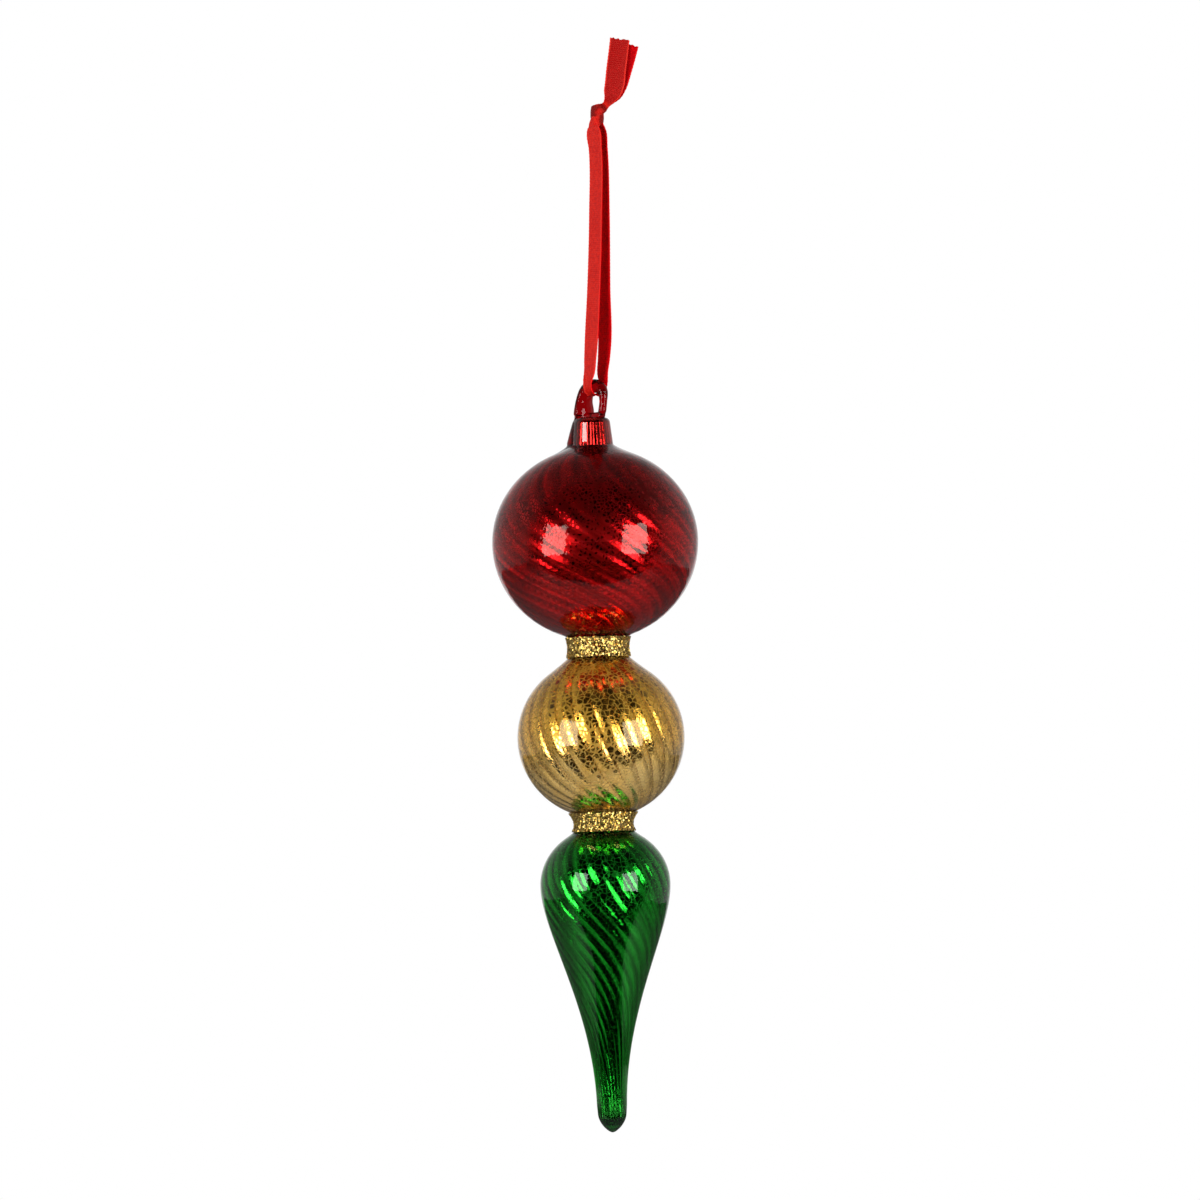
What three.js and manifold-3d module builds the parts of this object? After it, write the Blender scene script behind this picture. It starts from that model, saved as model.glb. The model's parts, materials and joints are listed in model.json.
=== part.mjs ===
// Glass finial ornament: three blown and silvered glass sections, red, gold and green, glued neck into
// neck under two glitter bands, with a hand-pulled glass eye that hangs in a loop of satin ribbon.
// Millimetres, +Z up. The origin is the hanging point, inside the top of the loop and under its knot.
// The eye's plane is the XZ plane, so the ribbon passes through it along Y.

import * as THREE from "three";
import { mergeVertices } from "three/addons/utils/BufferGeometryUtils.js";
import Module from "manifold-3d";

const wasm = await Module();
wasm.setup();

// How the ornament hangs
const loopDrop = 88; // hanging point down to the centre of the eye's rod
const lean = 2.67; // degrees that the glass axis leans, its foot towards +X, because the eye is off centre
const viewTurn = 50; // degrees from +X round to the plane that the ribbon's tails lie in

// Fits
const fitGap = 0.3; // clearance between seated pieces
const glassWall = 1.4;
const silverGap = 0.25; // clearance between the glass and its silvering
const silverThickness = 0.3;

// Red section
const neckTopRadius = 6.3;
const neckFootRadius = 7.1;
const neckHeight = 8.9;
const neckEdgeRadius = 1.2; // rounding of the neck's top edge
const neckInnerRounding = 0.4; // least rounding inside it
const neckFlare = 6.9; // how far out from the neck its flare meets the ball
const redRadius = 34.8;
const redUpperHeight = 32.3;
const redLowerHeight = 33.2;
const redLowerFlare = 2.9;

// Gold section
const goldRadius = 28.2;
const goldUpperHeight = 27.3;
const goldLowerHeight = 27.3;
const goldUpperFlare = 7.4;
const goldLowerFlare = 2.9;

// Green section
const dropRadius = 21.95;
const dropUpperHeight = 19.8;
const dropUpperFlare = 3.5;
const dropTaper = 74; // widest part down to the end of the hollow stem
const dropTaperShoulder = 16; // how far down the drop stays full
const dropTaperHollow = 40; // height at which the taper has drawn in to the stem
const stemRadius = 5.1;
const stemSwell = 0.7; // how much wider than the stem the taper's lower handle is
const tipLength = 9.2;
const tipShoulderRadius = 4.85;
const tipShoulder = 3; // end of the taper down to the tip's shoulder
const tipRoundRadius = 4.5;
const tipRound = 6.5; // end of the taper down to the tip's rounding
const hollowEnd = 4.5; // depth of the rounding at the end of the hollow

// Joints between sections: a collar on each side and a spigot up into the upper one
const flareLead = 0.8; // height over which a flare settles into its collar
const upperCollarRadius = 9.6;
const upperCollarRun = 2.5; // straight collar on each side of the upper joint
const lowerCollarRadius = 9.2;
const lowerCollarRun = 1.8;
const spigotHeight = 4.2;
const adhesiveThickness = 0.4;
const adhesiveHeight = 3.4;

// Glitter bands
const bandThickness = 0.5;
const bandEdgeThickness = 0.25;
const upperBandRise = 3.5; // height of each band above and below its joint
const upperBandDrop = 3.5;
const lowerBandRise = 3.5;
const lowerBandDrop = 3.1;

// Glass eye, in the plane y = 0 of the glass, from the neck's top
const eyeX = 2.5; // its crown, off the glass axis
const eyeRise = 10.6; // its crown's centre above the neck
const eyeRod = 2.3; // radius at the crown
const thickLegX = 3.5;
const thickLegHalfWidth = 1.95;
const thickLegHalfDepth = 3.3;
const thinLegX = 6.5;
const thinLegRadius = 1.3;
const thickFootReach = 0.9; // how much further out than its middle the thick leg's foot stands
const thickFootSwell = 0.6;
const thinFootReach = 1.3; // how much further in than its middle the thin leg's foot stands
const thinShoulderInset = 0.4;
const thinShoulderShare = 0.76; // rod left at the thin leg's shoulder
const footDepth = 0.9; // how far the legs run down before they are cut to the neck
const webHeight = 1.7;
const webHalfDepth = 1.5;
const skirtStart = 168; // degrees round the neck, from +X, where the trail of glass begins
const skirtEnd = 246;
const skirtThickness = 1.8;
const skirtEdge = 0.5; // its thickness where it begins and ends round the neck
const skirtTop = 0.7;
const skirtLength = 9.2;
const skirtRoot = 1; // how far it runs in before it is cut to the neck
const skirtTopShare = 0.3; // its swell at the top and at the foot
const skirtFootShare = 1.2;

// Shares of the eye's rise at which its legs bend
const thickAnkle = 0.24;
const thickMiddle = 0.57;
const thickShoulder = 0.89;
const thinShoulder = 0.84;
const thinMiddle = 0.52;
const thinAnkle = 0.21;

// Ribbon
const ribbonWidth = 6.5;
const ribbonThickness = 0.4;
const bightHalfWidth = 2.0;
const bightSaddle = 0.2; // extra radius of the bight, times its offset squared, to clear the arch
const bightArm = 3.4; // how far the bight's ends rise above the rod's centre
const bightSpread = 3.0; // half the distance between the strands at the eye
const strandPinch = 1.3; // half the distance between the strands at the knot
const strandEndHalfWidth = 2.5;
const strandTaper = 8; // length over which a strand narrows at each end
const knotBottom = 0.9;
const knotHeight = 6.3;
const knotHalfWidth = 3.1;
const knotHalfDepth = 2.9;
const knotEnd = 0.1; // share of its swell that is cut off at each end
const knotWaist = 0.1; // how far it is drawn in between its two wraps
const knotLean = 2.9; // how far its top leans towards the tails
const tailHalfWaist = 1.2;
const tailDepth = 0.5; // each tail lies this far off the plane between them

// Facets
const glassSides = 32;
const silverSides = 16;
const ballSteps = 12;
const neckSteps = 3;
const flareSteps = 3;
const climbSteps = 100; // fineness with which a band's edge is found on its flare
const bandSteps = 5;
const taperSteps = 9;
const tipSteps = 3;
const eyeSteps = 26;
const eyeSides = 12;
const skirtSteps = 8;
const skirtLevels = 3;
const bightSteps = 8;
const knotSteps = 8;
const knotSides = 10;

const degrees = THREE.MathUtils.degToRad;
const glassAxis = new THREE.Vector3(0, 0, 1);

const finishes = {
  redGlass: { color: 0x8c0d1a, roughness: 0.06, metalness: 0.6 },
  goldGlass: { color: 0xb28a3c, roughness: 0.06, metalness: 0.6 },
  greenGlass: { color: 0x0d5a30, roughness: 0.06, metalness: 0.6 },
  silvering: { color: 0xc9c4bc, roughness: 0.15, metalness: 1 },
  glitter: { color: 0xcaa04a, roughness: 0.45, metalness: 0.7 },
  adhesive: { color: 0xd8d2bc, roughness: 0.5, metalness: 0 },
  satin: { color: 0xcd231e, roughness: 0.4, metalness: 0 },
};

function piece(name, geometry, finish) {
  const mesh = new THREE.Mesh(geometry, new THREE.MeshStandardMaterial(finishes[finish]));
  mesh.name = name;
  return mesh;
}

// Turns a profile of [radius, height] points about Z. It runs up the outside and down the inside.
function turned(profile, sides) {
  const points = profile.map(([radius, height]) => new THREE.Vector2(Math.max(radius, 0), height));
  return new THREE.LatheGeometry(points, sides).rotateX(Math.PI / 2);
}

function closed(profile) {
  return [...profile, profile[0]];
}

function toSolid(geometry) {
  const bare = geometry.clone();
  bare.deleteAttribute("normal");
  bare.deleteAttribute("uv");
  const merged = mergeVertices(bare, 1e-4);
  return new wasm.Manifold(
    new wasm.Mesh({
      numProp: 3,
      vertProperties: merged.attributes.position.array,
      triVerts: new Uint32Array(merged.index.array),
    }),
  );
}

function fromSolid(solid) {
  const mesh = solid.getMesh();
  const geometry = new THREE.BufferGeometry();
  geometry.setAttribute("position", new THREE.BufferAttribute(mesh.vertProperties, mesh.numProp));
  geometry.setIndex(new THREE.BufferAttribute(mesh.triVerts, 1));
  return geometry;
}

// Skins closed rings of equal counts into one solid. Ring point j faces point count - 1 - j at the ends.
function lofted(rings) {
  const count = rings[0].length;
  const last = (rings.length - 1) * count;
  const index = [];
  for (let i = 0; i + 1 < rings.length; i++) {
    for (let j = 0; j < count; j++) {
      const a = i * count + j;
      const b = i * count + ((j + 1) % count);
      index.push(a, b, b + count, a, b + count, a + count);
    }
  }
  for (let j = 0; j < count / 2 - 1; j++) {
    const k = count - 1 - j;
    index.push(j, k, k - 1, j, k - 1, j + 1);
    index.push(last + j, last + k - 1, last + k, last + j, last + j + 1, last + k - 1);
  }
  if (signedVolume(rings.flat(), index) < 0) index.reverse();
  const geometry = new THREE.BufferGeometry().setFromPoints(rings.flat());
  geometry.setIndex(index);
  return geometry;
}

function signedVolume(points, index) {
  let volume = 0;
  for (let i = 0; i < index.length; i += 3) {
    const [a, b, c] = [points[index[i]], points[index[i + 1]], points[index[i + 2]]];
    volume += a.dot(new THREE.Vector3().crossVectors(b, c)) / 6;
  }
  return volume;
}

// One half of a ball's outline, as [radius, height from its centre] from its widest point to a collar.
// The ellipse gives way to a flare that settles upright into the collar's radius.
function halfBall(radius, height, collarRadius, flareReach) {
  const meetRadius = collarRadius + flareReach;
  const meetHeight = height * Math.sqrt(1 - (meetRadius / radius) ** 2);
  const slope = (height ** 2 / radius ** 2) * (meetRadius / meetHeight);
  const turnHeight = meetHeight + flareReach * slope;
  const footHeight = turnHeight + flareLead;
  const flare = new THREE.QuadraticBezierCurve(
    new THREE.Vector2(meetRadius, meetHeight),
    new THREE.Vector2(collarRadius, turnHeight),
    new THREE.Vector2(collarRadius, footHeight),
  );
  const meetAngle = Math.acos(meetRadius / radius);
  const points = [];
  const steps = ballSteps / 2;
  for (let i = 0; i <= steps; i++) {
    const angle = (meetAngle * i) / steps;
    points.push([radius * Math.cos(angle), height * Math.sin(angle)]);
  }
  for (const p of flare.getPoints(flareSteps).slice(1)) points.push([p.x, p.y]);
  return { points, footHeight, flare };
}

// The outer halves of the three bodies, which set the heights below and carry the bands
const redOuterUpper = halfBall(redRadius, redUpperHeight, neckFootRadius, neckFlare);
const redOuterLower = halfBall(redRadius, redLowerHeight, upperCollarRadius, redLowerFlare);
const goldOuterUpper = halfBall(goldRadius, goldUpperHeight, upperCollarRadius, goldUpperFlare);
const goldOuterLower = halfBall(goldRadius, goldLowerHeight, lowerCollarRadius, goldLowerFlare);
const dropOuterUpper = halfBall(dropRadius, dropUpperHeight, lowerCollarRadius, dropUpperFlare);

// Heights along the glass axis, from the neck's top
const redCentre = -neckHeight - redOuterUpper.footHeight;
const upperJoint = redCentre - redOuterLower.footHeight - upperCollarRun;
const goldCentre = upperJoint - upperCollarRun - goldOuterUpper.footHeight;
const lowerJoint = goldCentre - goldOuterLower.footHeight - lowerCollarRun;
const dropCentre = lowerJoint - lowerCollarRun - dropOuterUpper.footHeight;

// A half's points placed over or under a ball's centre, in each case from its lower end up.
function above(half, centre) {
  return half.points.map(([radius, height]) => [radius, centre + height]);
}

function below(half, centre) {
  return half.points.map(([radius, height]) => [radius, centre - height]).reverse();
}

function ball(upper, lower, centre) {
  return [...below(lower, centre), ...above(upper, centre).slice(1)];
}

// The glass surface of the red ball with its collar, shrunk by an inset, from its lower end up.
function redBall(inset) {
  const upper = halfBall(redRadius - inset, redUpperHeight - inset, neckFootRadius - inset, neckFlare);
  const lower = halfBall(
    redRadius - inset,
    redLowerHeight - inset,
    upperCollarRadius - inset,
    redLowerFlare,
  );
  return ball(upper, lower, redCentre);
}

function goldBall(inset) {
  const upper = halfBall(
    goldRadius - inset,
    goldUpperHeight - inset,
    upperCollarRadius - inset,
    goldUpperFlare,
  );
  const lower = halfBall(
    goldRadius - inset,
    goldLowerHeight - inset,
    lowerCollarRadius - inset,
    goldLowerFlare,
  );
  return ball(upper, lower, goldCentre);
}

// The neck above the red ball, from its foot up to the axis, with its top edge rounded.
function neck(inset) {
  const top = -inset;
  const radius = neckTopRadius - inset;
  const rounding = Math.max(neckEdgeRadius - inset, neckInnerRounding);
  const points = [];
  for (let i = 0; i <= neckSteps; i++) {
    const angle = (Math.PI / 2) * (i / neckSteps);
    const x = radius - rounding + rounding * Math.cos(angle);
    points.push([x, top - rounding + rounding * Math.sin(angle)]);
  }
  return [...points, [0, top]];
}

// The green drop from the axis at its lower end up to its collar.
function drop(inset, stemEnd) {
  const upper = halfBall(
    dropRadius - inset,
    dropUpperHeight - inset,
    lowerCollarRadius - inset,
    dropUpperFlare,
  );
  const radius = stemRadius - inset;
  const taper = new THREE.CubicBezierCurve(
    new THREE.Vector2(dropRadius - inset, 0),
    new THREE.Vector2(dropRadius - inset, -dropTaperShoulder),
    new THREE.Vector2(radius + stemSwell, -dropTaperHollow),
    new THREE.Vector2(radius, -dropTaper),
  );
  const down = taper.getPoints(taperSteps).slice(1);
  const side = down.map((p) => [p.x, dropCentre + p.y]).reverse();
  return [...stemEnd(inset), ...side, ...above(upper, dropCentre)];
}

// The solid pointed tip that closes the stem, from the axis up.
function outerTip() {
  const end = dropCentre - dropTaper;
  const side = new THREE.QuadraticBezierCurve(
    new THREE.Vector2(0, end - tipLength),
    new THREE.Vector2(tipRoundRadius, end - tipRound),
    new THREE.Vector2(tipShoulderRadius, end - tipShoulder),
  );
  return side.getPoints(tipSteps).map((p) => [p.x, p.y]);
}

// The rounded end of the hollow inside the stem, from the axis up.
function innerTip(inset) {
  const radius = stemRadius - inset;
  const depth = hollowEnd + glassWall - inset;
  const points = [];
  for (let i = 0; i < tipSteps; i++) {
    const angle = (Math.PI / 2) * (i / tipSteps);
    points.push([radius * Math.sin(angle), dropCentre - dropTaper - depth * Math.cos(angle)]);
  }
  return points;
}

function redBulb() {
  const bore = upperCollarRadius - glassWall;
  const outside = [
    [upperCollarRadius, upperJoint + fitGap / 2],
    ...redBall(0),
    ...neck(0),
  ];
  const inside = [[bore, upperJoint + fitGap / 2], ...redBall(glassWall), ...neck(glassWall)];
  return piece("red_bulb", turned(closed([...outside, ...inside.reverse()]), glassSides), "redGlass");
}

// A spigot's outside stands clear of the bore above it by the adhesive and a gap on each side of it.
function spigotRadius(collarRadius) {
  return collarRadius - glassWall - adhesiveThickness - 2 * fitGap;
}

function spigotOutside(collarRadius, joint) {
  const radius = spigotRadius(collarRadius);
  const shoulder = joint - fitGap / 2;
  return [
    [collarRadius, shoulder],
    [radius, shoulder],
    [radius, shoulder + spigotHeight],
  ];
}

function spigotInside(collarRadius, joint, foot) {
  const bore = spigotRadius(collarRadius) - glassWall;
  return [
    [bore, foot],
    [bore, joint - fitGap / 2 + spigotHeight],
  ];
}

function goldBulb() {
  const bore = lowerCollarRadius - glassWall;
  const inner = goldBall(glassWall);
  const outside = [
    [lowerCollarRadius, lowerJoint + fitGap / 2],
    ...goldBall(0),
    ...spigotOutside(upperCollarRadius, upperJoint),
  ];
  const inside = [
    [bore, lowerJoint + fitGap / 2],
    ...inner,
    ...spigotInside(upperCollarRadius, upperJoint, upperJoint - upperCollarRun),
  ];
  return piece("gold_bulb", turned(closed([...outside, ...inside.reverse()]), glassSides), "goldGlass");
}

function greenDrop() {
  const outside = [...drop(0, outerTip), ...spigotOutside(lowerCollarRadius, lowerJoint)];
  const inside = [
    ...drop(glassWall, innerTip),
    ...spigotInside(lowerCollarRadius, lowerJoint, lowerJoint - lowerCollarRun),
  ];
  return piece("green_drop", turned([...outside, ...inside.reverse()], glassSides), "greenGlass");
}

// A silvering shell follows the inside of its section and stays open where the section is.
function silvering(name, outline) {
  const outside = outline(glassWall + silverGap);
  const inside = outline(glassWall + silverGap + silverThickness);
  return piece(name, turned(closed([...outside, ...inside.reverse()]), silverSides), "silvering");
}

// Each lining stops where its lower flare begins, above the spigot that comes up through the collar.
function redLining(inset) {
  return [...redBall(inset).slice(flareSteps), [neckTopRadius - inset, -neckEdgeRadius - glassWall]];
}

function goldLining(inset) {
  return goldBall(inset).slice(flareSteps);
}

function dropLining(inset) {
  return drop(inset, innerTip);
}

// The ring of adhesive between a spigot and the bore round it.
function adhesive(name, collarRadius, joint) {
  const inner = spigotRadius(collarRadius) + fitGap;
  const outer = inner + adhesiveThickness;
  const bottom = joint + fitGap;
  const top = bottom + adhesiveHeight;
  const profile = [[outer, bottom], [outer, top], [inner, top], [inner, bottom]];
  return piece(name, turned(closed(profile), silverSides), "adhesive");
}

// The part of a ball's flare that a band climbs, from the collar out to a height above the ball's centre.
// It is moved out by the fit, and given as [radius, height above the centre].
function climb(half, endHeight) {
  const end = new THREE.Vector2();
  let share = 1;
  while (share > 0 && half.flare.getPoint(share, end).y > endHeight) share -= 1 / climbSteps;
  const points = [];
  for (let i = 0; i <= flareSteps; i++) {
    const t = 1 - ((1 - share) * i) / flareSteps;
    const p = half.flare.getPoint(t);
    const along = half.flare.getTangent(t);
    points.push([p.x + along.y * fitGap, p.y - along.x * fitGap]);
  }
  return points;
}

// A glitter band fills the waist of a joint, from one ball's flare to the other's.
function glitterBand(name, collarRadius, joint, upper, lower) {
  const upperEnd = upper.centre - joint - upper.bandHeight;
  const lowerEnd = joint - lower.centre - lower.bandHeight;
  const top = climb(upper.half, upperEnd).map(([radius, height]) => [radius, upper.centre - height]);
  const bottom = climb(lower.half, lowerEnd).map(([radius, height]) => [radius, lower.centre + height]);
  top.reverse();
  const [topRadius, topHeight] = top[0];
  const [bottomRadius, bottomHeight] = bottom.at(-1);
  const waist = collarRadius + fitGap + bandThickness;
  const topEdge = topRadius + bandEdgeThickness;
  const bottomEdge = bottomRadius + bandEdgeThickness;
  const face = new THREE.QuadraticBezierCurve(
    new THREE.Vector2(bottomEdge, bottomHeight),
    new THREE.Vector2(2 * waist - (topEdge + bottomEdge) / 2, joint),
    new THREE.Vector2(topEdge, topHeight),
  );
  const outside = face.getPoints(bandSteps).map((p) => [p.x, p.y]);
  return piece(name, turned(closed([...outside, ...top, ...bottom]), glassSides), "glitter");
}

// An oval ring of the eye's glass round a centre, square to the way it runs in the plane of the eye.
function eyeRing(centre, along, halfWidth, halfDepth) {
  const across = new THREE.Vector3(-along.z, 0, along.x);
  const ring = [];
  for (let j = 0; j < eyeSides; j++) {
    const angle = (2 * Math.PI * (j + 0.5)) / eyeSides;
    const point = centre.clone().addScaledVector(across, halfWidth * Math.cos(angle));
    ring.push(point.setY(halfDepth * Math.sin(angle)));
  }
  return ring;
}

// The eye's rod: a loop of changing section that rises from the neck, arches over and comes down again.
// Each station is [x, height, half width, half depth], up the thick leg and down the thin one.
function eyeRodLoop() {
  const footWidth = thickLegHalfWidth + thickFootSwell;
  const footThickness = thickLegHalfDepth + thickFootSwell;
  const shoulderWidth = (thickLegHalfWidth + eyeRod) / 2;
  const shoulderThickness = (thickLegHalfDepth + eyeRod) / 2;
  const thinShoulderRod = eyeRod * thinShoulderShare;
  const stations = [
    [-thickLegX - thickFootReach, -footDepth, footWidth, footThickness],
    [-thickLegX - thickFootReach / 3, eyeRise * thickAnkle, footWidth, footThickness],
    [-thickLegX, eyeRise * thickMiddle, thickLegHalfWidth, thickLegHalfDepth],
    [-thickLegX / 2, eyeRise * thickShoulder, shoulderWidth, shoulderThickness],
    [eyeX, eyeRise, eyeRod, eyeRod],
    [thinLegX - thinShoulderInset, eyeRise * thinShoulder, thinShoulderRod, thinShoulderRod],
    [thinLegX, eyeRise * thinMiddle, thinLegRadius, thinLegRadius],
    [thinLegX - thinFootReach / 2, eyeRise * thinAnkle, thinLegRadius, thinLegRadius],
    [thinLegX - thinFootReach, -footDepth, thinLegRadius, thinLegRadius],
  ];
  const path = new THREE.CatmullRomCurve3(stations.map(([x, z]) => new THREE.Vector3(x, 0, z)));
  const section = new THREE.CatmullRomCurve3(stations.map(([, , w, d]) => new THREE.Vector3(w, d, 0)));
  const rings = [];
  for (let i = 0; i <= eyeSteps; i++) {
    const t = i / eyeSteps;
    const size = section.getPoint(t);
    rings.push(eyeRing(path.getPoint(t), path.getTangent(t), size.x, size.y));
  }
  return lofted(rings);
}

// The low web of glass between the legs.
function eyeWeb() {
  const sideways = new THREE.Vector3(1, 0, 0);
  const height = (webHeight - footDepth) / 2;
  const rings = [-thickLegX, thinLegX - thinFootReach].map((x) => {
    const centre = new THREE.Vector3(x, 0, height);
    return eyeRing(centre, sideways, (webHeight + footDepth) / 2, webHalfDepth);
  });
  return lofted(rings);
}

// Outline of the neck and its flare, moved out by the fit, from the ball up to the axis above the neck.
function neckClearance() {
  const flare = above(redOuterUpper, redCentre).slice(-flareSteps - 2);
  const onBall = flare.length - flareSteps;
  const moved = flare.map(([radius, height], i) => {
    return [radius + fitGap, height + (i < onBall ? fitGap : 0)];
  });
  const top = neck(0).map(([radius, height]) => [radius ? radius + fitGap : 0, height + fitGap]);
  return [...moved, ...top];
}

// The trail of glass left down one side of the neck when the eye was pulled and laid on.
function neckSkirt() {
  const slope = (neckFootRadius - neckTopRadius) / neckHeight;
  const rings = [];
  for (let i = 0; i <= skirtSteps; i++) {
    const angle = degrees(THREE.MathUtils.lerp(skirtStart, skirtEnd, i / skirtSteps));
    const swell = THREE.MathUtils.lerp(skirtEdge, skirtThickness, Math.sin((Math.PI * i) / skirtSteps));
    const face = [];
    const root = [];
    for (let k = 0; k <= skirtLevels; k++) {
      const height = THREE.MathUtils.lerp(skirtTop, -skirtLength, k / skirtLevels);
      const share = THREE.MathUtils.lerp(skirtTopShare, skirtFootShare, k / skirtLevels);
      const radius = neckTopRadius - slope * height;
      face.push(new THREE.Vector3(radius + share * swell, 0, height));
      root.unshift(new THREE.Vector3(radius - skirtRoot, 0, height));
    }
    rings.push([...face, ...root].map((point) => point.applyAxisAngle(glassAxis, angle)));
  }
  return lofted(rings);
}

function glassHook() {
  const clearance = toSolid(turned([[0, redCentre], ...neckClearance()], glassSides));
  const raw = toSolid(eyeRodLoop()).add(toSolid(eyeWeb())).add(toSolid(neckSkirt()));
  return piece("glass_hook", fromSolid(raw.subtract(clearance)), "redGlass");
}

// A flat stretch of ribbon through stations of { at, across, halfWidth, out }, square in section.
function ribbonStretch(name, stations) {
  const rings = stations.map(({ at, across, halfWidth, out }) => {
    const side = across.clone().setLength(halfWidth);
    const face = out.clone().setLength(ribbonThickness / 2);
    const corner = (a, b) => at.clone().addScaledVector(side, a).addScaledVector(face, b);
    return [corner(-1, -1), corner(0, -1), corner(1, -1), corner(1, 1), corner(0, 1), corner(-1, 1)];
  });
  return piece(name, lofted(rings), "satin");
}

// A strand's stations are [height, distance from the axis, half width], from the eye up to the knot.
function strand(name, side) {
  const bottom = -loopDrop + bightArm + fitGap;
  const top = knotBottom - fitGap;
  const half = ribbonWidth / 2;
  const stations = [
    [bottom, bightSpread, strandEndHalfWidth],
    [bottom + strandTaper, bightSpread, half],
    [(bottom + top) / 2, (bightSpread + strandPinch) / 2, half],
    [top - strandTaper, strandPinch, half],
    [top, strandPinch, strandEndHalfWidth],
  ];
  const placed = stations.map(([z, y, halfWidth]) => ({
    at: new THREE.Vector3(0, side * y, z),
    across: new THREE.Vector3(1, 0, 0),
    out: new THREE.Vector3(0, 1, 0),
    halfWidth,
  }));
  return ribbonStretch(name, placed);
}

// The turn of ribbon under the eye's rod. It is saddle shaped, because the rod arches away from it.
function bight() {
  const rings = [];
  const columns = [-1, -0.5, 0, 0.5, 1];
  const surface = (column, extra) => (angle, rise) => {
    const x = column * bightHalfWidth;
    const radius = eyeRod + fitGap + bightSaddle * x ** 2;
    const side = Math.sign(Math.sin(angle));
    const share = rise / bightArm;
    const wide = x * (1 + share * (strandEndHalfWidth / bightHalfWidth - 1));
    if (rise > 0) {
      const y = THREE.MathUtils.lerp(radius + ribbonThickness / 2, bightSpread, share);
      return new THREE.Vector3(wide, side * (y + extra), -loopDrop + rise);
    }
    const reach = radius + ribbonThickness / 2 + extra;
    return new THREE.Vector3(x, reach * Math.sin(angle), -loopDrop - reach * Math.cos(angle));
  };
  const station = (angle, rise) => [
    ...columns.map((column) => surface(column, -ribbonThickness / 2)(angle, rise)),
    ...columns.map((column) => surface(-column, ribbonThickness / 2)(angle, rise)),
  ];
  rings.push(station(-Math.PI / 2, bightArm), station(-Math.PI / 2, bightArm / 2));
  for (let i = 0; i <= bightSteps; i++) rings.push(station(Math.PI * (i / bightSteps - 0.5), 0));
  rings.push(station(Math.PI / 2, bightArm / 2), station(Math.PI / 2, bightArm));
  return piece("ribbon_bight", lofted(rings), "satin");
}

// The level direction in which the tails fan out.
function tailsRight() {
  return new THREE.Vector3(Math.cos(degrees(viewTurn)), Math.sin(degrees(viewTurn)), 0);
}

// The knot swells between its ends, is drawn in between its two wraps and leans towards the tails.
function knot() {
  const leaning = tailsRight().multiplyScalar(knotLean);
  const rings = [];
  for (let i = 0; i <= knotSteps; i++) {
    const t = i / knotSteps;
    const swell = Math.sqrt(Math.sin(Math.PI * THREE.MathUtils.lerp(knotEnd, 1 - knotEnd, t)));
    const share = swell - knotWaist * Math.sin(Math.PI * t) ** 6;
    const ring = [];
    for (let j = 0; j < knotSides; j++) {
      const angle = (2 * Math.PI * (j + 0.5)) / knotSides;
      const x = knotHalfWidth * share * Math.cos(angle);
      const y = knotHalfDepth * share * Math.sin(angle);
      ring.push(new THREE.Vector3(x, y, knotBottom + t * knotHeight).addScaledVector(leaning, t ** 2));
    }
    rings.push(ring);
  }
  return piece("ribbon_knot", lofted(rings), "satin");
}

// A tail leaves the knot, lies in the plane of viewTurn and widens to the ribbon's full width.
// Its points are [distance from the axis, height, half width], chosen by hand.
function tail(name, depth, points) {
  const right = tailsRight();
  const away = new THREE.Vector3(-right.y, right.x, 0);
  const stations = points.map(([reach, z, halfWidth], i) => {
    const next = points[Math.min(i + 1, points.length - 1)];
    const before = points[Math.max(i - 1, 0)];
    const slope = Math.atan2(next[0] - before[0], next[1] - before[1]);
    const across = right.clone().multiplyScalar(Math.cos(slope)).setZ(-Math.sin(slope));
    const at = right.clone().multiplyScalar(reach).addScaledVector(away, depth).setZ(z);
    return { at, across, out: away, halfWidth };
  });
  return ribbonStretch(name, stations);
}

function frontTail() {
  const start = knotBottom + knotHeight + fitGap;
  const half = ribbonWidth / 2;
  return tail("ribbon_tail_front", -tailDepth, [
    [3.7, start, tailHalfWaist],
    [5.6, start + 3, half * 0.9],
    [6.4, start + 5.7, half],
    [7.0, start + 11, half],
    [8.3, start + 21.5, half],
  ]);
}

function backTail() {
  const start = knotBottom + knotHeight + fitGap;
  const half = ribbonWidth / 2;
  return tail("ribbon_tail_back", tailDepth, [
    [3.8, start, tailHalfWaist],
    [5.9, start + 3, half * 0.9],
    [7.3, start + 5.7, half],
    [9.1, start + 11, half],
    [11.0, start + 19, half],
  ]);
}

function ribbon() {
  const group = new THREE.Group();
  group.add(strand("ribbon_front_strand", -1), strand("ribbon_back_strand", 1), bight());
  group.add(knot(), frontTail(), backTail());
  return group;
}

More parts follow.
